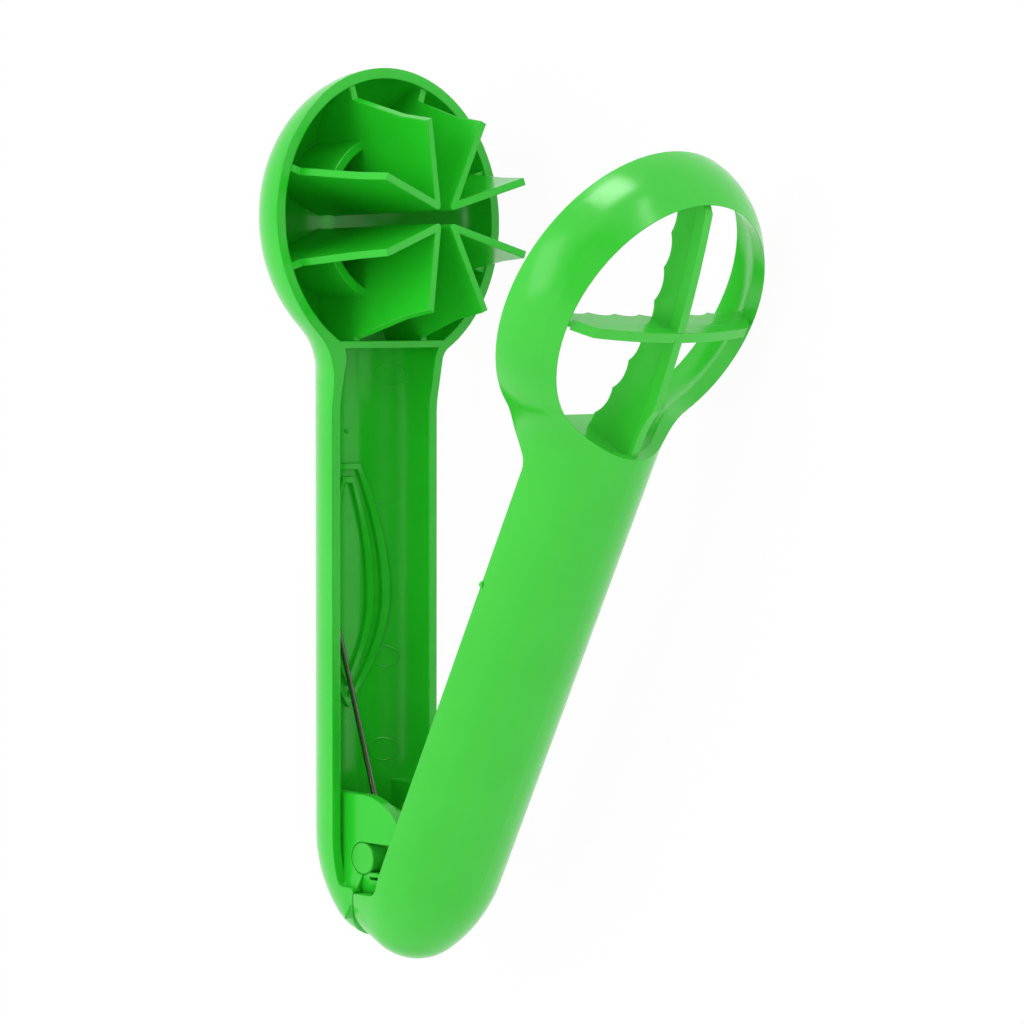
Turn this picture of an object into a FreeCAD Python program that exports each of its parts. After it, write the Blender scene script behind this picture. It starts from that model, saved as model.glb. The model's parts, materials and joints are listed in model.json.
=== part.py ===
import FreeCAD, Part
import Sketcher
import math
import os

# A hand tool that cuts a grape into quarters: a lever with a bowl of push fins, a lever with a ring of
# crossed blades, the pin that joins them and the wire spring that holds them apart.
#
# Both levers are drawn closed, in one frame. X is the way the fins push, Y runs along the handles to the
# heads, and Z is the way of the hinge axis. The heads' rims meet on the plane X = 0, and the middle of both
# heads is the origin. At the end the ring lever is turned open and the whole tool is laid on its side.

# Driving dimensions, in millimetres, degrees and counts
SIZES = [
    # Heads and handles
    ("head_radius", 30.1),
    ("head_side_radius", 15.0),
    ("pusher_head_depth", 21.5),
    ("cutter_head_depth", 22.6),
    ("wall", 2.1),
    ("grip_radius", 14.25),
    ("grip_length", 123.0),
    ("end_length", 22.0),
    ("end_tip_radius", 11.4),
    ("end_wall", 12.0),
    ("neck_rim_radius", 3.0),
    ("neck_back_radius", 17.0),
    ("rim_drop", 0.35),
    ("pusher_set_back", 1.9),
    ("pusher_taper", 0.8),
    ("cutter_set_back", 3.2),
    ("cutter_taper", 3.05),
    ("pusher_step_start", 26.0),
    ("pusher_step_end", 37.0),
    ("pusher_step_radius", 20.0),
    ("cutter_step_start", 27.5),
    ("cutter_step_end", 33.0),
    ("cutter_step_radius", 5.0),
    ("pusher_crossbar_place", 24.25),
    ("cutter_crossbar_place", 25.9),
    ("crossbar", 1.4),
    # Push fins and the ring wall of the bowl
    ("fin_thickness", 1.5),
    ("fin_lean", 17.6),
    ("fin_corner", 2.07),
    ("fin_round", 0.8),
    ("fin_apex", 15.3),
    ("fin_peak", 19.1),
    ("fin_top_radius", 20.0),
    ("fin_flank_radius", 21.3),
    ("fin_flank_height", 11.8),
    ("fin_base_radius", 25.3),
    ("fin_foot_drop", 0.6),
    ("ring_wall_radius", 17.0),
    ("ring_wall", 1.8),
    ("ring_wall_drop", 1.0),
    # Blades and their ring
    ("opening_radius", 25.0),
    ("blade_thickness", 1.2),
    ("blade_edge_thickness", 0.5),
    ("blade_top", 16.5),
    ("blade_side_top", 12.3),
    ("blade_head_top", 10.2),
    ("blade_neck_top", 18.7),
    ("blade_edge", 8.1),
    ("upright_edge_fall", 5.0),
    ("upright_edge_shift", 2.1),
    ("level_edge_fall", 2.0),
    ("tooth_count", 9),
    ("tooth_depth", 0.9),
    ("band_height", 2.4),
    ("band_thickness", 2.0),
    # Hinge
    ("hinge_distance", 127.2),
    ("hinge_height", 1.7),
    ("open_angle", 29.9),
    ("pin_radius", 3.2),
    ("pin_waist_radius", 2.4),
    ("pin_waist_length", 10.0),
    ("pin_chamfer", 0.2),
    ("pin_clearance", 0.08),
    ("ear_outside", 11.2),
    ("ear_thickness", 2.2),
    ("ear_radius", 12.8),
    ("ear_height", 12.0),
    ("ear_clearance", 0.4),
    ("snap_hold", 0.6),
    ("snap_entry", 2.8),
    ("slit_width", 0.6),
    ("finger", 0.8),
    ("web_outside", 7.0),
    ("web_thickness", 1.8),
    ("web_radius", 10.6),
    # Open stop at the lower end
    ("chin_height", 4.0),
    ("chin_start", 6.8),
    ("chin_slope_start", 3.1),
    ("seam_gap", 0.25),
    ("pusher_stop_start", 6.0),
    ("stop_round", 1.2),
    ("slope_round", 3.0),
    # Spring
    ("wire_radius", 0.55),
    ("coil_radius", 3.2),
    ("coil_pitch", 1.7),
    ("coil_turns", 2),
    ("coil_start", 1.6),
    ("pusher_leg_angle", 17.1),
    ("cutter_leg_angle", 19.3),
    ("leg_length", 42.0),
    # Leaf-shaped thumb grip in the back of the pusher's handle
    ("leaf_top", 49.1),
    ("leaf_wide", 76.0),
    ("leaf_tip", 99.0),
    ("leaf_width", 8.3),
    ("leaf_top_width", 2.9),
    ("leaf_top_least", 0.8),
    ("leaf_tip_draw", 1.6),
    ("leaf_rings", 2),
    ("leaf_step", 2.7),
    ("ridge_width", 1.3),
    ("ridge_height", 0.8),
]

doc = FreeCAD.newDocument("GrapeCutter")
sheet = doc.addObject("Spreadsheet::Sheet", "Sizes")
for row, (alias, value) in enumerate(SIZES, start=1):
    sheet.set("A%d" % row, alias)
    sheet.set("B%d" % row, str(value))
    sheet.setAlias("B%d" % row, alias)
doc.recompute()


def size(alias):
    return float(getattr(sheet, alias))


def tangent(angle):
    return math.tan(math.radians(angle))


ORIGIN = FreeCAD.Vector(0, 0, 0)
X_AXIS = FreeCAD.Vector(1, 0, 0)
Z_AXIS = FreeCAD.Vector(0, 0, 1)
PIN = FreeCAD.Vector(size("hinge_height"), -size("hinge_distance"), 0)
# A reach that takes a cutting tool past any side of the tool, for any size in the sheet
REACH_TEXT = "4 * Sizes.head_radius"
REACH = 4 * size("head_radius")
# Places nearer than the first value count as one, and ways that differ by less than the second as parallel
SAME_PLACE = 0.01
SAME_WAY = 1e-9


# Small makers for document objects

def bound(kind, name, expressions, rotation=FreeCAD.Rotation()):
    # A primitive whose sizes and place follow the sheet
    made = doc.addObject(kind, name)
    made.Placement = FreeCAD.Placement(ORIGIN, rotation)
    for prop, expression in expressions.items():
        made.setExpression(prop, expression)
    return made


def bound_disc(name, radius, height, x="0"):
    # A cylinder that starts at a place on X and runs along it
    return bound(
        "Part::Cylinder", name, {"Radius": radius, "Height": height, "Placement.Base.x": x},
        FreeCAD.Rotation(Z_AXIS, X_AXIS))


def joined(name, *pieces):
    made = doc.addObject("Part::MultiFuse", name)
    made.Shapes = list(pieces)
    return made


def shared(name, first, second):
    made = doc.addObject("Part::Common", name)
    made.Base = first
    made.Tool = second
    return made


def removed(name, first, second):
    made = doc.addObject("Part::Cut", name)
    made.Base = first
    made.Tool = second
    return made


def shaped(name, shape):
    made = doc.addObject("Part::Feature", name)
    made.Shape = shape
    return made


def rounded(name, base, chosen, radius_at):
    # Rounds the chosen edges, with a radius that radius_at gives for each edge's two ends
    doc.recompute()
    made = doc.addObject("Part::Fillet", name)
    made.Base = base
    edges = []
    for number, edge in enumerate(base.Shape.Edges, start=1):
        if chosen(edge):
            first = edge.valueAt(edge.FirstParameter)
            last = edge.valueAt(edge.LastParameter)
            edges.append((number, radius_at(first), radius_at(last)))
    made.Edges = edges
    return made


def slab(corners, low, high):
    # A flat outline in X and Y, extruded along Z from low to high
    points = [FreeCAD.Vector(x, y, low) for x, y in corners]
    face = Part.Face(Part.makePolygon(points + points[:1]))
    return face.extrude(FreeCAD.Vector(0, 0, high - low))


def half_space(low_x, high_x):
    # A block between two values of X, longer and wider than the whole lever
    length = size("hinge_distance") + 2 * REACH
    return Part.makeBox(
        high_x - low_x, length, 2 * REACH, FreeCAD.Vector(low_x, PIN.y - REACH, -REACH))


# The full outside or inside form of a lever: a round head, a round handle that leaves it, and a round end.
# side is -1 for the pusher, whose head goes down from the rim, and 1 for the cutter, whose head goes up.

def oval_radii(length, radius, small):
    # An oval of two arcs that meet smoothly: length is half of it along X and radius is half of it along Y.
    # small is the radius of the tighter arc. This gives the radius at the tip on X and at the side on Y.
    short = min(length, radius)
    long = max(length, radius)
    large = ((long - small) ** 2 + short ** 2 - small ** 2) / (2 * (short - small))
    return (small, large) if length > radius else (large, small)


def oval_arcs(length, radius, small):
    # The oval's two arcs in the quarter where X and Y are above 0, and the point where they meet
    tip, side = oval_radii(length, radius, small)
    meet = math.atan2(abs(radius - side), abs(length - tip))

    def arc(centre_x, centre_y, around, first, last):
        spots = []
        for angle in (first, (first + last) / 2, last):
            x = centre_x + around * math.cos(angle)
            y = centre_y + around * math.sin(angle)
            spots.append(FreeCAD.Vector(x, y, 0))
        return Part.Arc(*spots).toShape(), spots[-1]

    tip_arc, meeting = arc(length - tip, 0, tip, 0, meet)
    side_arc = arc(0, radius - side, side, meet, math.pi / 2)[0]
    return tip_arc, side_arc, meeting


def oval_face(length, radius, small):
    # The whole oval as a flat face
    edges = list(oval_arcs(length, radius, small)[:2])
    edges += [edge.mirror(ORIGIN, X_AXIS) for edge in edges]
    edges += [edge.mirror(ORIGIN, FreeCAD.Vector(0, 1, 0)) for edge in edges]
    return Part.Face(Part.Wire(Part.__sortEdges__(edges)))


def egg(length, radius, small):
    # A round solid about X with an oval section: a turned band between two caps cut from balls
    tip = oval_radii(length, radius, small)[0]
    side_arc, meeting = oval_arcs(length, radius, small)[1:]
    foot = FreeCAD.Vector(meeting.x, 0, 0)
    left = FreeCAD.Vector(-meeting.x, meeting.y, 0)
    edges = [side_arc, side_arc.mirror(ORIGIN, X_AXIS)]
    edges += [Part.makeLine(meeting, foot), Part.makeLine(foot, -foot), Part.makeLine(-foot, left)]
    result = Part.Face(Part.Wire(Part.__sortEdges__(edges))).revolve(ORIGIN, X_AXIS, 360)
    for sign in (-1, 1):
        ball = Part.makeSphere(tip, FreeCAD.Vector(sign * (length - tip), 0, 0), FreeCAD.Vector(0, 1, 0))
        low = min(sign * meeting.x, sign * (meeting.x + REACH))
        result = result.fuse(ball.common(half_space(low, low + REACH)))
    return result.removeSplitter()


def lever_form(name, side, lever, share, clearance=None):
    # share says how far into the wall the form lies: 0 is the outside and 1 is the inside. A named clearance
    # takes it further in.
    inset = share * size("wall")
    grip_text = "Sizes.grip_radius - %s * Sizes.wall" % share
    if clearance:
        inset += size(clearance)
        grip_text += " - Sizes." + clearance
    depth = size(lever + "_head_depth") - inset
    head = shaped(name + "_head", egg(depth, size("head_radius") - inset, size("head_side_radius") - inset))
    grip = bound("Part::Cylinder", name + "_grip", {"Height": "Sizes.grip_length", "Radius": grip_text})
    # The end is half of an egg on the back, with straight walls towards the rim
    length = size("end_length") - inset
    radius = size("grip_radius") - inset
    tip = size("end_tip_radius") - inset
    walls = oval_face(length, radius, tip).extrude(FreeCAD.Vector(0, 0, size("end_wall")))
    end = shaped(name + "_end", egg(length, radius, tip))
    upright = shaped(name + "_end_walls", walls)
    lean = FreeCAD.Rotation(Z_AXIS, side * size(lever + "_taper"))
    root = FreeCAD.Vector(side * (size(lever + "_set_back") - size("rim_drop")), 0, 0)
    along = lean.multVec(FreeCAD.Vector(0, -1, 0))
    far = root + along * size("grip_length")
    grip.Placement = FreeCAD.Placement(root, lean * FreeCAD.Rotation(X_AXIS, 90))
    end.Placement = FreeCAD.Placement(far, lean * FreeCAD.Rotation(Z_AXIS, 90))
    towards_rim = FreeCAD.Rotation(Z_AXIS, -side * 90) * FreeCAD.Rotation(X_AXIS, 90)
    upright.Placement = FreeCAD.Placement(far, lean * towards_rim)
    whole = joined(name + "_whole", head, grip, end)
    whole.Refine = True
    low = -size("head_radius") - size("wall")
    high = -size("grip_radius")

    def at_neck(edge):
        box = edge.BoundBox
        return low < box.YMin and box.YMax < high and edge.Length > size("wall") / 2

    def neck_radius(point):
        # The neck is rounder on the back than at the rim
        on_back = side * point.x > 0
        return size("neck_back_radius" if on_back else "neck_rim_radius") + inset

    neck = rounded(name + "_neck", whole, at_neck, neck_radius)
    return joined(name, neck, upright)


# What is cut away on the rim side, as a side view. The rim steps back from the heads' plane at the neck.

def rim_height(side, lever, y):
    return side * (size(lever + "_set_back") + y * tangent(size(lever + "_taper")))


def rim_corners(side, lever):
    step_end = size(lever + "_step_end")
    return [
        (-side * REACH, REACH),
        (0, REACH),
        (0, -size(lever + "_step_start")),
        (rim_height(side, lever, step_end), -step_end)]


def rounded_corner(name, base, spot, radius):
    # Rounds the upright edge that stands on a place in X and Y

    def at_spot(edge):
        middle = edge.BoundBox.Center
        upright = edge.BoundBox.ZLength > REACH
        return upright and math.hypot(middle.x - spot[0], middle.y - spot[1]) < SAME_PLACE

    def same_radius(point):
        return radius

    return rounded(name, base, at_spot, same_radius)


def rim_tool(name, corners, radii):
    # The side view as a block, with the numbered corners rounded
    result = shaped(name + "_outline", slab(corners, -REACH, REACH))
    for number, radius in radii.items():
        result = rounded_corner("%s_round_%d" % (name, number), result, corners[number], radius)
    return result


def turned(point, angle):
    # Where a point goes when it turns about the hinge
    return PIN + FreeCAD.Rotation(Z_AXIS, angle).multVec(point - PIN)


def stop_line(y):
    # The pusher's end face at a place along the handle: it meets the chin's face when the tool is open
    chin = FreeCAD.Vector(size("chin_height") - size("seam_gap"), PIN.y, 0)
    known = turned(chin, -size("open_angle"))
    return known.x + (y - known.y) * tangent(size("open_angle"))


# A plate beside the hinge axis, cut to a lever's outside where it stands in the lever

def hinge_plate(name, profile, outside, thickness, form, keep):
    plates = []
    for sign in (-1, 1):
        low = min(sign * outside, sign * (outside - thickness))
        plate = profile.copy()
        plate.translate(FreeCAD.Vector(0, 0, low))
        plates.append(plate)
    pair = shaped(name + "_pair", plates[0].fuse(plates[1]))
    inside = shared(name + "_inside", pair, form)
    free = shared(name + "_free", pair, keep)
    return joined(name, inside, free)


def ear_room():
    # Where the ears may be, with a clearance: inside the ring lever's hollow when the tool is closed, or on
    # the pusher's side of the ring lever's chin when it is open
    gap = size("ear_clearance")
    hollow = lever_form("ear_hollow", 1, "cutter", 1, "ear_clearance")
    high = PIN.y + size("ear_radius") + gap
    low = PIN.y - size("ear_radius") - gap
    corners = [(stop_line(high) - gap, high), (stop_line(low) - gap, low), (-REACH, low), (-REACH, high)]
    return joined("ear_room", hollow, shaped("ear_room_beside", slab(corners, -REACH, REACH)))


def disc(radius, height, centre):
    return Part.makeCylinder(radius, height, centre, Z_AXIS)


def ear_profile():
    thick = size("ear_thickness")
    lobe = disc(size("ear_radius"), thick, PIN)
    reach = size("ear_radius")
    root = slab(
        [(PIN.x, PIN.y - reach), (PIN.x, PIN.y + reach),
         (PIN.x - REACH, PIN.y + reach), (PIN.x - REACH, PIN.y - reach)], 0, thick)
    lid = slab(
        [(PIN.x + size("ear_height"), PIN.y - reach), (PIN.x + size("ear_height"), PIN.y + reach),
         (PIN.x + REACH, PIN.y + reach), (PIN.x + REACH, PIN.y - reach)], 0, thick)
    seat_radius = size("pin_radius") + size("pin_clearance")
    seat = disc(seat_radius, thick, PIN)
    hold = seat_radius - size("snap_hold")
    entry = size("snap_entry")
    bump = seat_radius + size("snap_hold")
    mouth = slab(
        [(PIN.x, PIN.y + seat_radius), (PIN.x + REACH, PIN.y + seat_radius),
         (PIN.x + REACH, PIN.y - entry), (PIN.x + bump + 2 * (entry - hold), PIN.y - entry),
         (PIN.x + bump, PIN.y - hold), (PIN.x, PIN.y - hold)], 0, thick)
    slit_top = PIN.y - entry - size("finger")
    slit = slab(
        [(PIN.x + size("pin_radius") / 2, slit_top), (PIN.x + REACH, slit_top),
         (PIN.x + REACH, slit_top - size("slit_width")),
         (PIN.x + size("pin_radius") / 2, slit_top - size("slit_width"))], 0, thick)
    return lobe.fuse(root).cut([lid, seat, mouth, slit])


def web_profile():
    thick = size("web_thickness")
    reach = size("web_radius")
    lobe = disc(reach, thick, PIN)
    root = slab(
        [(PIN.x, PIN.y - reach), (PIN.x + REACH, PIN.y - reach),
         (PIN.x + REACH, PIN.y + reach), (PIN.x, PIN.y + reach)], 0, thick)
    return lobe.fuse(root).cut(disc(size("pin_radius"), thick, PIN))


def crossbar_box(lever, side):
    # The wall that closes the handle's channel off from the head
    low = "0" if side > 0 else "-" + REACH_TEXT
    return bound("Part::Box", lever + "_crossbar_block", {
        "Length": REACH_TEXT,
        "Width": "Sizes.crossbar",
        "Height": "2 * " + REACH_TEXT,
        "Placement.Base.x": low,
        "Placement.Base.y": "-Sizes.%s_crossbar_place - Sizes.crossbar" % lever,
        "Placement.Base.z": "-" + REACH_TEXT})


# Pusher lever: bowl, ring wall, four V-shaped fins, channel, leaf ridges and two ears with snap slots

def fin_arms():
    # One V seen from the front, in Y and Z, with its corner at the middle of the head
    half = size("fin_thickness") / 2
    lean = math.radians(size("fin_lean"))
    corner = size("fin_corner")
    reach = size("head_radius")
    diagonal = half / math.sin(math.radians(45) - lean)
    outer = corner - diagonal * math.sin(math.radians(45))
    inner = corner + diagonal * math.sin(math.radians(45))
    way = (math.cos(lean), math.sin(lean))
    side = (-way[1] * half, way[0] * half)
    far = (corner + reach * way[0], corner + reach * way[1])
    right = [(far[0] - side[0], far[1] - side[1]), (far[0] + side[0], far[1] + side[1])]
    points = [(outer, outer), right[0], right[1], (inner, inner)]
    points += [(right[1][1], right[1][0]), (right[0][1], right[0][0])]
    low = -size("pusher_head_depth")
    corners = [FreeCAD.Vector(low, y, z) for y, z in points]
    face = Part.Face(Part.makePolygon(corners + corners[:1]))
    arms = face.extrude(FreeCAD.Vector(size("fin_peak") - low, 0, 0))
    upright = []
    for edge in arms.Edges:
        middle = edge.BoundBox.Center
        at_corner = abs(middle.y - outer) < SAME_PLACE and abs(middle.z - outer) < SAME_PLACE
        if at_corner and edge.BoundBox.XLength > size("pusher_head_depth"):
            upright.append(edge)
    return arms.makeFillet(size("fin_round"), upright)


def fin_envelope():
    # The fins' outline as it turns about the middle of the head: a sloped top, flanks and a foot
    peak = size("fin_peak")
    profile = [
        (size("fin_apex"), 0),
        (peak, size("fin_top_radius")),
        (size("fin_flank_height"), size("fin_flank_radius")),
        (-size("fin_foot_drop"), size("fin_base_radius")),
        (-size("fin_foot_drop"), size("head_radius")),
        (-size("pusher_head_depth"), size("head_radius")),
        (-size("pusher_head_depth"), 0)]
    points = [FreeCAD.Vector(x, y, 0) for x, y in profile]
    face = Part.Face(Part.makePolygon(points + points[:1]))
    return face.revolve(ORIGIN, X_AXIS, 360)


def four_times(shape):
    # The shape in each quarter of the head
    every = []
    for quarter in range(4):
        turn = shape.copy()
        turn.rotate(ORIGIN, X_AXIS, 90 * quarter)
        every.append(turn)
    return every[0].fuse(every[1:])


def between_arms():
    # The wedge between one V's arms, from Y and Z
    lean = math.radians(size("fin_lean"))
    corner = size("fin_corner")
    reach = size("head_radius")
    near = (corner + reach * math.cos(lean), corner + reach * math.sin(lean))
    points = [(corner, corner), near, (near[1], near[0])]
    depth = size("pusher_head_depth")
    corners = [FreeCAD.Vector(-depth, y, z) for y, z in points]
    face = Part.Face(Part.makePolygon(corners + corners[:1]))
    return face.extrude(FreeCAD.Vector(depth, 0, 0))


def ring_wall():
    # Four arcs of a low round wall, each inside its own V
    height = "Sizes.pusher_head_depth - Sizes.ring_wall_drop"
    root = "-Sizes.pusher_head_depth"
    outer = bound_disc("ring_wall_outside", "Sizes.ring_wall_radius", height, root)
    inner = bound_disc("ring_wall_inside", "Sizes.ring_wall_radius - Sizes.ring_wall", height, root)
    wedges = shaped("ring_wall_wedges", four_times(between_arms()))
    return shared("ring_wall_arcs", removed("ring_wall_tube", outer, inner), wedges)


def leaf_face(shrink):
    # A leaf outline in Y and Z: a short flat top, a long curve to the widest place, a tighter one to the
    # tip. Drawn in by shrink, its pointed tip moves further than its sides and its top narrows half as much.
    top = -size("leaf_top") - shrink
    wide = -size("leaf_wide")
    tip = -size("leaf_tip") + size("leaf_tip_draw") * shrink
    half = size("leaf_width") - shrink
    top_half = max(size("leaf_top_width") - shrink / 2, size("leaf_top_least"))

    def curve(y_end, z_end, sign):
        # A circular arc that runs along the leaf at its widest place
        gap = half - z_end
        run = y_end - wide
        radius = (run * run + gap * gap) / (2 * gap)
        half_turn = math.asin(run / radius) / 2
        y_mid = wide + radius * math.sin(half_turn)
        z_mid = half - radius * (1 - math.cos(half_turn))
        spots = [(wide, sign * half), (y_mid, sign * z_mid), (y_end, sign * z_end)]
        return Part.Arc(*[FreeCAD.Vector(0, y, z) for y, z in spots]).toShape()

    edges = []
    for sign in (-1, 1):
        edges.append(curve(top, top_half, sign))
        edges.append(curve(tip, 0, sign))
    edges.append(Part.makeLine(FreeCAD.Vector(0, top, -top_half), FreeCAD.Vector(0, top, top_half)))
    return Part.Face(Part.Wire(Part.__sortEdges__(edges)))


def leaf_band(shrink, thickness):
    # A closed strip along the leaf's outline, as deep as the handle
    outer = leaf_face(shrink)
    inner = leaf_face(shrink + thickness)
    strip = outer.cut(inner)
    return strip.extrude(FreeCAD.Vector(-REACH, 0, 0))


def channel_layer(low_radius, high_radius):
    # The part of the handle's wall between two radii about the handle's axis
    lean = FreeCAD.Rotation(Z_AXIS, -size("pusher_taper"))
    root = FreeCAD.Vector(-size("pusher_set_back") + size("rim_drop"), 0, 0)
    along = lean.multVec(FreeCAD.Vector(0, -1, 0))
    outer = Part.makeCylinder(high_radius, size("grip_length"), root, along)
    return outer.cut(Part.makeCylinder(low_radius, size("grip_length"), root, along))


def pusher_lever():
    outside = lever_form("pusher_outside", -1, "pusher", 0)
    middle = lever_form("pusher_middle", -1, "pusher", 0.5)
    inside = lever_form("pusher_inside", -1, "pusher", 1)
    shell = removed("pusher_shell", outside, inside)
    bar = crossbar_box("pusher", -1)
    within = shared("pusher_inner_walls", joined("pusher_inner_blocks", bar, ring_wall()), middle)
    corners = rim_corners(-1, "pusher")
    low = PIN.y - size("pusher_stop_start")
    last = PIN.y - REACH
    corners += [
        (rim_height(-1, "pusher", -low), low),
        (stop_line(low), low),
        (stop_line(last), last),
        (REACH, last)]
    step = size("pusher_step_radius")
    stop = size("stop_round")
    tool = rim_tool("pusher_rim", corners, {2: step, 3: step, 4: stop, 5: stop / 2})
    base = removed("pusher_base", joined("pusher_blank", shell, within), tool)
    past_bar = Part.makeBox(
        2 * REACH, REACH, 2 * REACH,
        FreeCAD.Vector(-REACH, -REACH - size("pusher_crossbar_place") - size("crossbar") / 2, -REACH))
    fins = four_times(fin_arms().common(fin_envelope()))
    vees = shaped("pusher_fins_block", fins.cut(past_bar))
    vees_low = shared("pusher_fins_low", vees, middle)
    vees_high = shared("pusher_fins_high", vees, shaped("above_rim", half_space(-size("wall") / 2, REACH)))
    ear_floor = rim_height(-1, "pusher", size("hinge_distance"))
    clear = shaped("pusher_ear_room", half_space(ear_floor, REACH))
    full_ears = hinge_plate(
        "pusher_ears", ear_profile(), size("ear_outside"), size("ear_thickness"), middle, clear)
    ears = shared("pusher_ears_clear", full_ears, ear_room())
    grip = size("grip_radius")
    wall = size("wall")
    layer = channel_layer(grip - wall - size("ridge_height"), grip - wall / 2)
    groove_layer = channel_layer(grip - size("ridge_height"), grip + wall / 2)
    ridges = []
    grooves = []
    for ring_number in range(int(size("leaf_rings"))):
        band = leaf_band(ring_number * size("leaf_step"), size("ridge_width"))
        ridges.append(band.common(layer))
        grooves.append(band.common(groove_layer))
    ridge = shaped("pusher_leaf_ridges", ridges[0].fuse(ridges[1:]))
    groove = shaped("pusher_leaf_grooves", grooves[0].fuse(grooves[1:]))
    whole = joined("pusher_whole", base, vees_low, vees_high, ears, ridge)
    return removed("pusher_lever", whole, groove)


# Cutter lever: a ring with a round opening, two crossed serrated blades, a channel, two webs and a chin

def blade_edge_height(y, fall, shift):
    # The toothed edge is arched: highest at -shift, and lower by fall at the opening's radius from there
    share = (y + shift) / size("opening_radius")
    return size("blade_edge") - fall * share * share


def blade_face(low_end, middle, high_end, fall, shift):
    # One blade in X and Y. Each end of the top edge is a height above the rim plane.
    reach = size("head_radius") - size("wall") / 2
    count = int(size("tooth_count"))
    pitch = 2 * reach / count
    tops = [FreeCAD.Vector(low_end, -reach, 0), FreeCAD.Vector(middle, 0, 0),
            FreeCAD.Vector(high_end, reach, 0)]
    bow = (middle - (low_end + high_end) / 2) / 4
    edges = []
    for first, last in (tops[:2], tops[1:]):
        half_way = (first + last) * 0.5 + FreeCAD.Vector(bow, 0, 0)
        edges.append(Part.Arc(first, half_way, last).toShape())
    tips = []
    for index in range(count + 1):
        y = -reach + index * pitch
        tips.append(FreeCAD.Vector(blade_edge_height(y, fall, shift), y, 0))
    for first, last in zip(tips, tips[1:]):
        notch = (first + last) * 0.5 + FreeCAD.Vector(size("tooth_depth"), 0, 0)
        edges.append(Part.Arc(first, notch, last).toShape())
    edges.append(Part.makeLine(tips[0], tops[0]))
    edges.append(Part.makeLine(tips[-1], tops[2]))
    return Part.Face(Part.Wire(Part.__sortEdges__(edges)))


def blade(low_end, middle, high_end, fall, shift):
    # The plate thins from its back to the toothed edge, and a thicker band runs along its back
    face = blade_face(low_end, middle, high_end, fall, shift)
    half = size("blade_thickness") / 2
    edge_half = size("blade_edge_thickness") / 2
    plate = face.extrude(FreeCAD.Vector(0, 0, 2 * half))
    plate.translate(FreeCAD.Vector(0, 0, -half))
    reach = size("head_radius")
    thin = face.BoundBox.XMin
    thick = min(low_end, high_end)
    far = middle + reach
    taper = [(thin, -edge_half), (thick, -half), (far, -half), (far, half), (thick, half), (thin, edge_half)]
    outline = [FreeCAD.Vector(x, -reach, z) for x, z in taper]
    wedge = Part.Face(Part.makePolygon(outline + outline[:1])).extrude(FreeCAD.Vector(0, 2 * reach, 0))
    plate = plate.common(wedge)
    top = face.copy()
    lower = face.copy()
    lower.translate(FreeCAD.Vector(-size("band_height"), 0, 0))
    strip = top.cut(lower)
    band_half = size("band_thickness") / 2
    strips = []
    for piece in strip.Faces:
        if piece.BoundBox.XMax > middle - size("band_height") / 2:
            band = piece.extrude(FreeCAD.Vector(0, 0, 2 * band_half))
            band.translate(FreeCAD.Vector(0, 0, -band_half))
            strips.append(band)
    return plate.fuse(strips)


def cutter_lever():
    outside = lever_form("cutter_outside", 1, "cutter", 0)
    middle = lever_form("cutter_middle", 1, "cutter", 0.5)
    inside = lever_form("cutter_inside", 1, "cutter", 1)
    shell = removed("cutter_shell", outside, inside)
    crossbar = shared("cutter_crossbar", crossbar_box("cutter", 1), middle)
    opening = bound_disc("cutter_opening", "Sizes.opening_radius", REACH_TEXT)
    corners = rim_corners(1, "cutter")
    low = PIN.y - size("chin_slope_start")
    last = PIN.y - REACH
    corners += [
        (rim_height(1, "cutter", -low), low),
        (size("chin_height"), PIN.y - size("chin_start")),
        (size("chin_height"), last),
        (-REACH, last)]
    step = size("cutter_step_radius")
    tool = rim_tool("cutter_rim", corners, {2: step, 3: step, 4: size("slope_round"), 5: size("stop_round")})
    blank = removed("cutter_open_blank", joined("cutter_blank", shell, crossbar), opening)
    base = removed("cutter_base", blank, tool)
    top = size("blade_top")
    level = blade(size("blade_side_top"), top, size("blade_side_top"), size("level_edge_fall"), 0)
    level.rotate(ORIGIN, X_AXIS, 90)
    upright = blade(
        size("blade_neck_top"), top, size("blade_head_top"), size("upright_edge_fall"),
        size("upright_edge_shift"))
    cross = shaped("cutter_blades_block", upright.fuse(level))
    blades = shared("cutter_blades", cross, middle)
    web_top = rim_height(1, "cutter", size("hinge_distance"))
    clear = shaped("cutter_web_room", half_space(-REACH, web_top))
    webs = hinge_plate(
        "cutter_webs", web_profile(), size("web_outside"), size("web_thickness"), middle, clear)
    return joined("cutter_lever", base, blades, webs)


# Hinge pin: full thickness in the ears and webs, a waist inside the coil

def hinge_pin():
    body = doc.addObject("PartDesign::Body", "hinge_pin")
    plane = [item for item in body.Origin.OriginFeatures if item.Role == "XZ_Plane"][0]
    sketch = body.newObject("Sketcher::SketchObject", "pin_outline")
    sketch.AttachmentSupport = (plane, [""])
    sketch.MapMode = "FlatFace"
    end = "Sizes.ear_outside"
    thick = "Sizes.pin_radius"
    thin = "Sizes.pin_waist_radius"
    waist = "Sizes.pin_waist_length / 2"
    chamfer = "Sizes.pin_chamfer"
    corners = [
        ("0", "-" + end),
        (thick + " - " + chamfer, "-" + end),
        (thick, "-" + end + " + " + chamfer),
        (thick, "-" + waist),
        (thin, "-" + waist),
        (thin, waist),
        (thick, waist),
        (thick, end + " - " + chamfer),
        (thick + " - " + chamfer, end),
        ("0", end)]
    draw_outline(sketch, corners)
    turned_body = body.newObject("PartDesign::Revolution", "pin_turned")
    turned_body.Profile = sketch
    turned_body.ReferenceAxis = (sketch, ["V_Axis"])
    turned_body.Angle = 360
    body.Tip = turned_body
    return body


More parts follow.
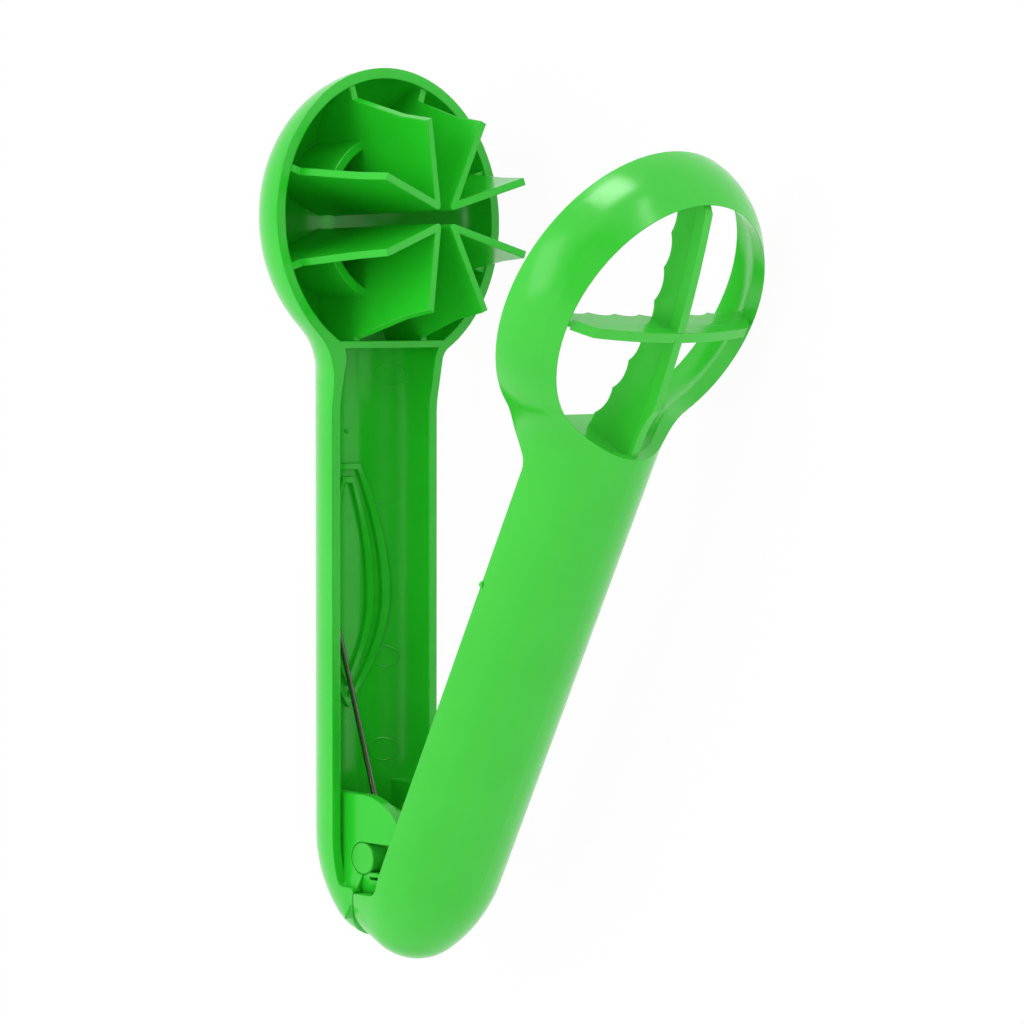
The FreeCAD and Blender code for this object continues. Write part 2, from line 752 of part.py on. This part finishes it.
def draw_outline(sketch, corners):
    # Straight lines from corner to corner, with both coordinates of every corner bound to the sheet. They
    # start on a circle, in the same order, and the bounds then move them.
    count = len(corners)
    spread = size("ear_outside")
    starts = []
    for index in range(count + 1):
        angle = 2 * math.pi * index / count
        starts.append(FreeCAD.Vector(spread + spread * math.cos(angle), spread * math.sin(angle), 0))
    for first, last in zip(starts, starts[1:]):
        sketch.addGeometry(Part.LineSegment(first, last), False)
    for index in range(count):
        sketch.addConstraint(Sketcher.Constraint("Coincident", index, 2, (index + 1) % count, 1))
    for index, (x, y) in enumerate(corners):
        for kind, expression in (("DistanceX", x), ("DistanceY", y)):
            number = sketch.addConstraint(Sketcher.Constraint(kind, -1, 1, index, 1, 1.0))
            sketch.setExpression("Constraints[%d]" % number, expression)


# Torsion spring: one wire, with a leg along each handle and a coil round the pin's waist

def coil_point(turn):
    # The coil starts on the pusher's side of the pin and runs round its lower side, away along the axis
    start = math.radians(180 + size("pusher_leg_angle"))
    angle = start + 2 * math.pi * turn
    radius = size("coil_radius")
    z = size("coil_start") - size("coil_pitch") * turn
    point = FreeCAD.Vector(PIN.x + radius * math.cos(angle), PIN.y + radius * math.sin(angle), z)
    rise = -size("coil_pitch") / (2 * math.pi)
    way = FreeCAD.Vector(-radius * math.sin(angle), radius * math.cos(angle), rise)
    return point, way.normalize()


def biarc(first, first_way, last, last_way):
    # Two arcs that leave the first point and reach the last point along their given directions
    span = last - first
    both = first_way + last_way
    a = 2 * (1 - first_way.dot(last_way))
    b = 2 * span.dot(both)
    c = -span.dot(span)
    if abs(a) < SAME_WAY:
        step = -c / b
    else:
        step = (-b + math.sqrt(b * b - 4 * a * c)) / (2 * a)
    first_handle = first + first_way * step
    last_handle = last - last_way * step
    joint = (first_handle + last_handle) * 0.5
    return [
        arc_on(first, first_handle, joint),
        arc_on(joint, last_handle, last)]


def arc_on(first, handle, last):
    # The arc that touches the lines from the handle to both of its ends
    to_first = first - handle
    to_last = last - handle
    half = to_first.getAngle(to_last) / 2
    length = to_first.Length
    radius = length * math.tan(half)
    bisector = ((to_first.normalize()) + (to_last.normalize())).normalize()
    centre_gap = length / math.cos(half)
    middle = handle + bisector * (centre_gap - radius)
    return Part.Arc(first, middle, last).toShape()


def spring_route():
    turns = int(size("coil_turns"))
    sweep = 180 - size("pusher_leg_angle") - size("cutter_leg_angle") - size("open_angle")
    total = turns + sweep / 360
    # No piece is longer than half a turn
    pieces = 2 * (turns + 1)
    points = [coil_point(total * index / pieces) for index in range(pieces + 1)]
    first, first_way = points[0]
    last, last_way = points[-1]
    flat_first = FreeCAD.Vector(first_way.x, first_way.y, 0).normalize()
    flat_last = FreeCAD.Vector(last_way.x, last_way.y, 0).normalize()
    points[0] = (first, flat_first)
    points[-1] = (last, flat_last)
    leg = size("leg_length")
    edges = [Part.makeLine(first - flat_first * leg, first)]
    for (here, here_way), (there, there_way) in zip(points, points[1:]):
        edges += biarc(here, here_way, there, there_way)
    edges.append(Part.makeLine(last, last + flat_last * leg))
    return edges


def least_gap(edges):
    # The least distance between stretches of the wire more than half a turn apart, less its thickness
    points = []
    along = 0
    for edge in edges:
        count = 1 + int(2 * edge.Length / size("wire_radius"))
        for index in range(count):
            share = index / count
            spot = edge.valueAt(edge.FirstParameter + (edge.LastParameter - edge.FirstParameter) * share)
            points.append((along + edge.Length * share, spot))
        along += edge.Length
    apart = math.pi * size("coil_radius")
    least = REACH
    for index, (here, spot) in enumerate(points):
        for there, other in points[index + 1:]:
            if there - here > apart:
                least = min(least, spot.distanceToPoint(other))
    return least - 2 * size("wire_radius")


def torsion_spring():
    edges = spring_route()
    route = Part.Wire(edges)
    start = edges[0].Vertexes[0].Point
    way = (edges[0].Vertexes[1].Point - start).normalize()
    section = Part.Wire(Part.makeCircle(size("wire_radius"), start, way))
    solid = route.makePipeShell([section], True, False)
    print("torsion_spring: least gap to itself %.2f mm" % least_gap(edges))
    return shaped("torsion_spring", solid)


pusher = pusher_lever()
cutter = cutter_lever()
pin = hinge_pin()
spring = torsion_spring()
doc.recompute()

# The ring lever and its pin are turned open about the hinge, and then the tool is laid on its side with the
# middle of its lowest face at the origin.
opened = FreeCAD.Placement(
    PIN - FreeCAD.Rotation(Z_AXIS, -size("open_angle")).multVec(PIN),
    FreeCAD.Rotation(Z_AXIS, -size("open_angle")))
at_hinge = FreeCAD.Placement(PIN, FreeCAD.Rotation())
box = FreeCAD.BoundBox(pusher.Shape.optimalBoundingBox())
box.add(cutter.Shape.transformed(opened.toMatrix()).optimalBoundingBox())
laid = FreeCAD.Placement(FreeCAD.Vector(-box.Center.x, -box.Center.y, -box.ZMin), FreeCAD.Rotation())
pusher.Placement = laid
cutter.Placement = laid * opened
pin.Placement = laid * opened * at_hinge
spring.Placement = laid
doc.recompute()

NODES = [pusher, cutter, pin, spring]
for item in doc.Objects:
    if "Invalid" in item.State or "Error" in item.State:
        raise RuntimeError("%s could not be built" % item.Name)
for node in NODES:
    if node.Shape.isNull() or not node.Shape.isValid():
        raise RuntimeError("%s has no valid shape" % node.Label)
os.makedirs("parts", exist_ok=True)
for node in NODES:
    node.Shape.exportStep("parts/%s.step" % node.Label)
    print("%s: %d solid, %.0f cubic mm" % (node.Label, len(node.Shape.Solids), node.Shape.Volume))
hinge = laid.multVec(PIN)
print("hinge axis through x %.3f y %.3f" % (hinge.x, hinge.y))
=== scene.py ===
import json
import math

import bpy
from mathutils import Matrix, Vector
from mathutils.bvhtree import BVHTree


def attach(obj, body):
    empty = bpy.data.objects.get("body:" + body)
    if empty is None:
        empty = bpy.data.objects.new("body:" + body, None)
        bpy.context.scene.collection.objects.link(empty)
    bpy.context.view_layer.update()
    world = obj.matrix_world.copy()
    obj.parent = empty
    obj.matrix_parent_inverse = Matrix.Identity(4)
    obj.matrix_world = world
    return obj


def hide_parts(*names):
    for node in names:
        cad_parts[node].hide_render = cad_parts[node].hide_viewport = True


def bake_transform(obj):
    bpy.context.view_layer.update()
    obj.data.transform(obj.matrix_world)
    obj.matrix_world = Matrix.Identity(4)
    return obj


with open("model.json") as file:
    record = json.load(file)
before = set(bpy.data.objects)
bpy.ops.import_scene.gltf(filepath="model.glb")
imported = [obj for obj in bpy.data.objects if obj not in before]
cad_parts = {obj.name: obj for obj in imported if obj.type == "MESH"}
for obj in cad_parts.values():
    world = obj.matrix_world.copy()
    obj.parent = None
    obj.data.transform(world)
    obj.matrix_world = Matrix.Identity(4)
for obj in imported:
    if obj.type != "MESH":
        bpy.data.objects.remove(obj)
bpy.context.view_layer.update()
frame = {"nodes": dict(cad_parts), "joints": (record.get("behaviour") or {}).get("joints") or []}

MM = 0.001
HINGE = Vector(frame["joints"][0]["pos_m"])

# Camera, which stands where the photograph was taken from, in the object's own axes
CAMERA_RIGHT = Vector((0.70241, -0.00802, -0.71172))
CAMERA_UP = Vector((-0.02964, 0.99874, -0.0405))
CAMERA_BACK = Vector((0.71115, 0.04955, 0.70129))
CAMERA_PLACE = HINGE + Vector((503.53, 102.44, 465.065)) * MM
CAMERA_LENS = 120.272
CAMERA_SENSOR = 36.0

# Spring, with the CAD model's wire, coil and angles, and a longer leg along the pusher, as it shows
WIRE_RADIUS = 0.55 * MM
COIL_RADIUS = 3.2 * MM
COIL_PITCH = 1.7 * MM
COIL_START_HEIGHT = 1.6 * MM
COIL_TURNS = 2.316
COIL_START_ANGLE = math.radians(197.1)
CUTTER_LEG_LENGTH = 42 * MM
PUSHER_LEG_LENGTH = 47.8 * MM
# The pusher's leg is bowed off its straight line by this much at its end, clear of the channel's floor
PUSHER_LEG_BOW = Vector((0.75, 0, 0.85)) * MM
COIL_STEPS_PER_TURN = 40
LEG_STEPS = 24
WIRE_SIDES = 20

# Marks of the moulds: the gate's (y, z) on the channel's floor, and the place and way of the rim's nub
GATE_PLACE = (16.4 * MM, 30.0 * MM)
RIM_NUB_PLACE = Vector((7.35, -11.7, 44.2)) * MM
RIM_NUB_WAY = Vector((-0.7, 0, 0.7))

# Plastic: how many patches a metre holds, of tone, of gloss and of orange peel
TONE_SCALE = 60
GLOSS_SCALE = 350
PEEL_SCALE = 500
# Most values of a noise lie between these
NOISE_LOW = 0.3
NOISE_HIGH = 0.7

# Studio
LAMP_DISTANCE = 0.9
LAMP_AIM = Vector((0, 0.03, 0.03))
FLOOR_HALF_WIDTH = 4.0
FLOOR_COLOUR = (0.9, 0.9, 0.9, 1)
FLOOR_WHITE_SHARE = 0.955
# The room is dark in these directions: the channel's floor reflects the first and the blades the second
FRONT_GAP_WAY = (0.76, 0.0, 0.65)
LEFT_GAP_WAY = (-0.73, 0.06, 0.68)
GAP_LEVEL = 0.1


# Nodes

def new_material(name):
    material = bpy.data.materials.new(name)
    material.use_nodes = True
    material.node_tree.nodes.clear()
    return material


def add_node(tree, kind, **sockets):
    node = tree.nodes.new("ShaderNode" + kind)
    for socket, value in sockets.items():
        node.inputs[socket.replace("_", " ")].default_value = value
    return node


def math_node(tree, operation, first, second):
    # The second value may be a number
    node = add_node(tree, "Math")
    node.operation = operation
    tree.links.new(first, node.inputs[0])
    if isinstance(second, float):
        node.inputs[1].default_value = second
    else:
        tree.links.new(second, node.inputs[1])
    return node.outputs["Value"]


def noise(tree, place, scale, detail):
    # Cloudy values, in patches about 1 / scale across
    node = add_node(tree, "TexNoise", Scale=scale, Detail=detail, Roughness=0.5)
    tree.links.new(place, node.inputs["Vector"])
    return node.outputs["Fac"]


def spread(tree, value, least, most):
    # The middle part of a noise, spread from least to most
    node = add_node(tree, "MapRange", From_Min=NOISE_LOW, From_Max=NOISE_HIGH, To_Min=least, To_Max=most)
    tree.links.new(value, node.inputs["Value"])
    return node.outputs["Result"]


def two_tones(tree, value, first, second):
    # The middle part of a noise, spread from the first colour to the second
    node = tree.nodes.new("ShaderNodeValToRGB")
    node.color_ramp.elements[0].position = NOISE_LOW
    node.color_ramp.elements[0].color = (*first, 1)
    node.color_ramp.elements[1].position = NOISE_HIGH
    node.color_ramp.elements[1].color = (*second, 1)
    tree.links.new(value, node.inputs["Fac"])
    return node.outputs["Color"]


# Materials

def moulded_plastic(name, deep, pale, roughness, peel, rounding):
    # Translucent green moulding: faint clouds of tone, satin gloss, orange peel and softly rounded edges
    material = new_material(name)
    tree = material.node_tree
    place = tree.nodes.new("ShaderNodeTexCoord").outputs["Object"]
    shader = add_node(tree, "BsdfPrincipled", IOR=1.49, Specular_IOR_Level=0.45, Subsurface_Weight=0.1,
                      Subsurface_Scale=1.0 * MM, Subsurface_Radius=(0.25, 1.0, 0.25))
    output = tree.nodes.new("ShaderNodeOutputMaterial")
    edges = add_node(tree, "Bevel", Radius=rounding)
    edges.samples = 6
    skin = add_node(tree, "Bump", Strength=peel, Distance=0.03 * MM)
    tone = two_tones(tree, noise(tree, place, TONE_SCALE, 3), deep, pale)
    gloss = spread(tree, noise(tree, place, GLOSS_SCALE, 4), *roughness)
    links = tree.links
    links.new(tone, shader.inputs["Base Color"])
    links.new(gloss, shader.inputs["Roughness"])
    links.new(noise(tree, place, PEEL_SCALE, 2), skin.inputs["Height"])
    links.new(edges.outputs["Normal"], skin.inputs["Normal"])
    links.new(skin.outputs["Normal"], shader.inputs["Normal"])
    links.new(shader.outputs["BSDF"], output.inputs["Surface"])
    return material


def drawn_steel(name):
    # Dark spring wire with fine lines along its length, from the wire's own lengthwise coordinates
    material = new_material(name)
    tree = material.node_tree
    place = tree.nodes.new("ShaderNodeTexCoord").outputs["UV"]
    stretch = add_node(tree, "Mapping", Scale=(60.0, 1.5, 1.0))
    shader = add_node(tree, "BsdfPrincipled", Metallic=1.0, Anisotropic=0.4)
    output = tree.nodes.new("ShaderNodeOutputMaterial")
    lines_bump = add_node(tree, "Bump", Strength=0.25, Distance=0.02 * MM)
    links = tree.links
    links.new(place, stretch.inputs["Vector"])
    lines = noise(tree, stretch.outputs["Vector"], 1.0, 3)
    tone = two_tones(tree, lines, (0.10, 0.085, 0.07), (0.34, 0.31, 0.27))
    links.new(tone, shader.inputs["Base Color"])
    links.new(spread(tree, lines, 0.32, 0.2), shader.inputs["Roughness"])
    links.new(lines, lines_bump.inputs["Height"])
    links.new(lines_bump.outputs["Normal"], shader.inputs["Normal"])
    links.new(shader.outputs["BSDF"], output.inputs["Surface"])
    return material


def paint(node_name, material):
    for material_slot in frame["nodes"][node_name].material_slots:
        material_slot.material = material


# Meshes

def mesh_object(name, points, faces, material):
    mesh = bpy.data.meshes.new(name)
    mesh.from_pydata(points, [], faces)
    mesh.materials.append(material)
    mesh.shade_smooth()
    piece = bpy.data.objects.new(name, mesh)
    bpy.context.collection.objects.link(piece)
    return piece


def strip_faces(rows, width, closed):
    # Quads between rows of points, where a closed row's last point joins its first
    faces = []
    last = width if closed else width - 1
    for row in range(rows - 1):
        for column in range(last):
            after = (column + 1) % width
            here = row * width
            there = here + width
            faces.append((here + column, here + after, there + after, there + column))
    return faces


# Spring wire

def coil_drop(turn):
    # The coil leaves both legs level, falls evenly between, and falls by a pitch for each turn in all
    ease = 0.2
    slope = COIL_TURNS / (COIL_TURNS - ease)
    if turn < ease:
        fallen = turn * turn / (2 * ease)
    elif turn > COIL_TURNS - ease:
        left = COIL_TURNS - turn
        fallen = COIL_TURNS - ease - left * left / (2 * ease)
    else:
        fallen = turn - ease / 2
    return COIL_PITCH * slope * fallen


def wire_points():
    # The middle line of the wire, from the end of the pusher's leg to the end of the cutter's
    coil = []
    steps = round(COIL_TURNS * COIL_STEPS_PER_TURN)
    for index in range(steps + 1):
        turn = COIL_TURNS * index / steps
        angle = COIL_START_ANGLE + 2 * math.pi * turn
        spot = Vector((math.cos(angle), math.sin(angle), 0)) * COIL_RADIUS
        spot.z = COIL_START_HEIGHT - coil_drop(turn)
        coil.append(HINGE + spot)
    end_angle = COIL_START_ANGLE + 2 * math.pi * COIL_TURNS
    first_way = Vector((-math.sin(COIL_START_ANGLE), math.cos(COIL_START_ANGLE), 0))
    last_way = Vector((-math.sin(end_angle), math.cos(end_angle), 0))
    before = []
    after = []
    for index in range(LEG_STEPS):
        share = 1 - index / LEG_STEPS
        before.append(coil[0] - first_way * PUSHER_LEG_LENGTH * share + PUSHER_LEG_BOW * share ** 2)
        after.append(coil[-1] + last_way * CUTTER_LEG_LENGTH * (index + 1) / LEG_STEPS)
    return before + coil + after


def wire_tube(points, material):
    # A round tube with cut ends. The corner of each end is rounded, with one point between the arc's ends.
    rounding = WIRE_RADIUS * 0.35
    arc_middle = rounding * 0.3
    first_way = (points[1] - points[0]).normalized()
    last_way = (points[-1] - points[-2]).normalized()
    first_end = [points[0] + first_way * inset for inset in (0, arc_middle, rounding)]
    last_end = [points[-1] - last_way * inset for inset in (rounding, arc_middle, 0)]
    line = first_end + points[1:-1] + last_end
    end_radii = [WIRE_RADIUS - rounding, WIRE_RADIUS - arc_middle, WIRE_RADIUS]
    radii = end_radii + [WIRE_RADIUS] * (len(points) - 2) + end_radii[::-1]
    axis = Vector((0, 0, 1))
    corners = []
    for index, (spot, radius) in enumerate(zip(line, radii)):
        way = (line[min(index + 1, len(line) - 1)] - line[max(index - 1, 0)]).normalized()
        side = way.cross(axis).normalized()
        upward = side.cross(way)
        for corner in range(WIRE_SIDES):
            angle = 2 * math.pi * corner / WIRE_SIDES
            corners.append(spot + (side * math.cos(angle) + upward * math.sin(angle)) * radius)
    faces = strip_faces(len(line), WIRE_SIDES, True)
    faces.append(tuple(reversed(range(WIRE_SIDES))))
    faces.append(tuple(range(len(corners) - WIRE_SIDES, len(corners))))
    wire = mesh_object("spring_wire", corners, faces, material)
    lengthwise(wire.data, line)
    return wire


def lengthwise(mesh, line):
    # Coordinates round the wire, and along it in millimetres, for the drawn lines
    along = [0.0]
    for here, there in zip(line, line[1:]):
        along.append(along[-1] + (there - here).length / MM)
    layer = mesh.uv_layers.new(name="lengthwise")
    for face in mesh.polygons:
        columns = [mesh.loops[loop].vertex_index % WIRE_SIDES for loop in face.loop_indices]
        wraps = 0 in columns and WIRE_SIDES - 1 in columns
        for loop, column in zip(face.loop_indices, columns):
            row = mesh.loops[loop].vertex_index // WIRE_SIDES
            turn = WIRE_SIDES if wraps and column == 0 else column
            layer.data[loop].uv = (turn / WIRE_SIDES, along[row])


def spring(material):
    wire = wire_tube(wire_points(), material)
    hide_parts("torsion_spring")
    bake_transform(wire)


# Marks of the moulds

def surface_tree(node_name):
    mesh = frame["nodes"][node_name].data
    points = [vertex.co.copy() for vertex in mesh.vertices]
    return BVHTree.FromPolygons(points, [face.vertices[:] for face in mesh.polygons])


def floor_spot(tree, y, z):
    # A point on the channel's floor, seen straight in from its open side, and the way that the floor faces
    hit = tree.ray_cast(Vector((HINGE.x, y, z)), Vector((-1, 0, 0)))
    return hit[:2]


def ejector_ring(name, tree, material, centre, radius, start, end):
    # The low ridge that an ejector pin leaves round itself on the floor of the channel. Where it runs only
    # part of the way round, it fades at both ends.
    steps = 48
    width = 0.36 * MM
    height = 0.13 * MM
    sunk = 0.04 * MM
    fade_share = 0.2
    profile = [(-0.5, -sunk), (-0.22, height * 0.8), (0, height), (0.22, height * 0.8), (0.5, -sunk)]
    whole = end - start >= 360
    corners = []
    for index in range(steps + 1):
        share = index / steps
        angle = math.radians(start + (end - start) * share)
        fade = 1.0 if whole else min(1.0, min(share, 1 - share) / fade_share)
        outward = Vector((0, math.cos(angle), math.sin(angle)))
        spot, normal = floor_spot(tree, centre[0] + outward.y * radius, centre[1] + outward.z * radius)
        side = (outward - normal * outward.dot(normal)).normalized()
        for across, rise in profile:
            lifted = rise * fade - sunk * (1 - fade)
            corners.append(spot + side * across * width + normal * lifted)
    ring = mesh_object(name, corners, strip_faces(steps + 1, len(profile), False), material)
    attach(ring, "pusher")


def lump(name, body, material, spot, normal, radius, height):
    # A small drop of plastic that stands on a surface, oval and lobed, with its foot sunk in
    rings = 6
    sides = 14
    sunk_share = 0.15
    side = normal.orthogonal().normalized()
    other = normal.cross(side)
    corners = []
    for ring in range(rings):
        lean = math.pi / 2 * ring / rings
        lift = height * (math.sin(lean) * (1 + sunk_share) - sunk_share)
        for corner in range(sides):
            angle = 2 * math.pi * corner / sides
            oval = 0.14 * math.sin(2 * angle + 0.6)
            lobed = 0.08 * math.sin(3 * angle)
            reach = radius * math.cos(lean) * (1 + oval + lobed)
            outward = side * math.cos(angle) + other * math.sin(angle)
            corners.append(spot + outward * reach + normal * lift)
    corners.append(spot + normal * height)
    faces = strip_faces(rings, sides, True)
    top = (rings - 1) * sides
    for corner in range(sides):
        faces.append((top + corner, top + (corner + 1) % sides, len(corners) - 1))
    piece = mesh_object(name, corners, faces, material)
    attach(piece, body)


def mould_marks(pusher_plastic, cutter_plastic):
    tree = surface_tree("pusher_lever")
    ejector_marks = [
        # Name, (y, z) and radius in millimetres, first and last angle in degrees from the way to the heads
        ("ejector_mark_1", (27.8, 21.6), 2.3, 0, 360),
        ("ejector_mark_1_outer", (27.8, 21.6), 3.0, 245, 295),
        ("ejector_mark_2", (3.6, 22.3), 2.3, 95, 265),
        ("ejector_mark_3", (-30.0, 22.2), 2.1, 0, 360),
        ("ejector_mark_4", (-49.1, 22.5), 2.3, 0, 360),
    ]
    for name, (y, z), radius, start, end in ejector_marks:
        ejector_ring(name, tree, pusher_plastic, (y * MM, z * MM), radius * MM, start, end)
    spot, normal = floor_spot(tree, *GATE_PLACE)
    lump("gate_mark", "pusher", pusher_plastic, spot, normal, 0.55 * MM, 0.45 * MM)
    lump("rim_nub", "cutter", cutter_plastic, RIM_NUB_PLACE, RIM_NUB_WAY,
         0.65 * MM, 0.6 * MM)


# Stage

def stage_floor():
    # Nearly white to the camera and in reflections, and darker only where the object shades it
    half = FLOOR_HALF_WIDTH
    corners = [(-half, -half, 0), (half, -half, 0), (half, half, 0), (-half, half, 0)]
    material = new_material("floor_white")
    tree = material.node_tree
    rays = tree.nodes.new("ShaderNodeLightPath").outputs
    seen = math_node(tree, "MAXIMUM", rays["Is Camera Ray"], rays["Is Glossy Ray"])
    shown = math_node(tree, "MAXIMUM", seen, rays["Is Transmission Ray"])
    matte = add_node(tree, "BsdfDiffuse", Color=FLOOR_COLOUR)
    glow = add_node(tree, "Emission", Strength=1.0)
    mixed = tree.nodes.new("ShaderNodeMixShader")
    output = tree.nodes.new("ShaderNodeOutputMaterial")
    links = tree.links
    links.new(math_node(tree, "MULTIPLY", shown, FLOOR_WHITE_SHARE), mixed.inputs["Fac"])
    links.new(matte.outputs["BSDF"], mixed.inputs[1])
    links.new(glow.outputs["Emission"], mixed.inputs[2])
    links.new(mixed.outputs["Shader"], output.inputs["Surface"])
    mesh_object("floor", corners, [(0, 1, 2, 3)], material)


def dark_gap(tree, place, way, edge_cosine, core_cosine):
    # One all round, and down to the gap's level near one direction. The cosines are of the angles from
    # that direction at which the gap starts and at which it is darkest.
    nearness = tree.nodes.new("ShaderNodeVectorMath")
    nearness.operation = "DOT_PRODUCT"
    nearness.inputs[1].default_value = way
    level = add_node(tree, "MapRange", From_Min=edge_cosine, From_Max=core_cosine, To_Min=1.0,
                     To_Max=GAP_LEVEL)
    level.interpolation_type = "SMOOTHSTEP"
    tree.links.new(place, nearness.inputs[0])
    tree.links.new(nearness.outputs["Value"], level.inputs["Value"])
    return level.outputs["Result"]


def studio_world():
    # An even white room with two dark gaps
    world = bpy.data.worlds.new("studio")
    world.use_nodes = True
    tree = world.node_tree
    tree.nodes.clear()
    place = tree.nodes.new("ShaderNodeTexCoord").outputs["Generated"]
    front_gap = dark_gap(tree, place, FRONT_GAP_WAY, 0.8, 0.95)
    left_gap = dark_gap(tree, place, LEFT_GAP_WAY, 0.981, 0.9965)
    room = add_node(tree, "Background", Color=(1, 1, 1, 1))
    output = tree.nodes.new("ShaderNodeOutputWorld")
    tree.links.new(math_node(tree, "MULTIPLY", front_gap, left_gap), room.inputs["Strength"])
    tree.links.new(room.outputs["Background"], output.inputs["Surface"])
    bpy.context.scene.world = world


def soft_box(name, way, width, height, brightness, diffuse=True, gloss=True):
    # A lamp in a direction from the heads, that faces them. Brightness is how white its face looks.
    lamp = bpy.data.lights.new(name, "AREA")
    lamp.shape = "RECTANGLE"
    lamp.size = width
    lamp.size_y = height
    lamp.energy = brightness * math.pi * width * height
    holder = bpy.data.objects.new(name, lamp)
    direction = way.normalized()
    holder.location = LAMP_AIM + direction * LAMP_DISTANCE
    holder.rotation_euler = direction.to_track_quat("Z", "Y").to_euler()
    holder.visible_camera = False
    holder.visible_diffuse = diffuse
    holder.visible_glossy = gloss
    bpy.context.collection.objects.link(holder)


def lamps():
    # The gleams only show in the gloss, and the front and left boxes only light the colour
    soft_box("overhead_box", Vector((0.0, 0.21, 0.98)), 0.42, 0.64, 1.95)
    soft_box("left_box", Vector((-0.7, 0.0, 0.71)), 0.5, 0.6, 1.1, gloss=False)
    soft_box("front_box", Vector(FRONT_GAP_WAY), 0.4, 0.4, 2.4, gloss=False)
    soft_box("head_end_box", Vector((0.2, 0.95, 0.2)), 0.62, 0.22, 1.2)
    soft_box("head_end_gleam", Vector((0.3, 0.91, 0.27)), 0.46, 0.4, 8.0, diffuse=False)
    soft_box("floor_gleam", Vector((0.84, 0.5, 0.05)), 0.42, 0.12, 4.0, diffuse=False)


def camera():
    data = bpy.data.cameras.new("camera")
    data.sensor_width = CAMERA_SENSOR
    data.lens = CAMERA_LENS
    holder = bpy.data.objects.new("camera", data)
    turned = Matrix((CAMERA_RIGHT, CAMERA_UP, CAMERA_BACK)).transposed().to_4x4()
    holder.matrix_world = Matrix.Translation(CAMERA_PLACE) @ turned
    bpy.context.collection.objects.link(holder)
    bpy.context.scene.camera = holder


# Whole scene

pusher_plastic = moulded_plastic(
    "pusher_plastic_look", deep=(0.018, 0.555, 0.019), pale=(0.024, 0.595, 0.025),
    roughness=(0.15, 0.22), peel=0.05, rounding=0.45 * MM)
cutter_plastic = moulded_plastic(
    "cutter_plastic_look", deep=(0.038, 0.555, 0.032), pale=(0.044, 0.59, 0.038),
    roughness=(0.17, 0.25), peel=0.06, rounding=0.2 * MM)
pin_plastic = moulded_plastic(
    "pin_plastic_look", deep=(0.03, 0.54, 0.028), pale=(0.04, 0.58, 0.038),
    roughness=(0.34, 0.42), peel=0.2, rounding=0.15 * MM)
paint("pusher_lever", pusher_plastic)
paint("cutter_lever", cutter_plastic)
paint("hinge_pin", pin_plastic)
spring(drawn_steel("spring_steel_look"))
mould_marks(pusher_plastic, cutter_plastic)
stage_floor()
studio_world()
lamps()
camera()
bpy.context.scene.view_settings.view_transform = "Standard"
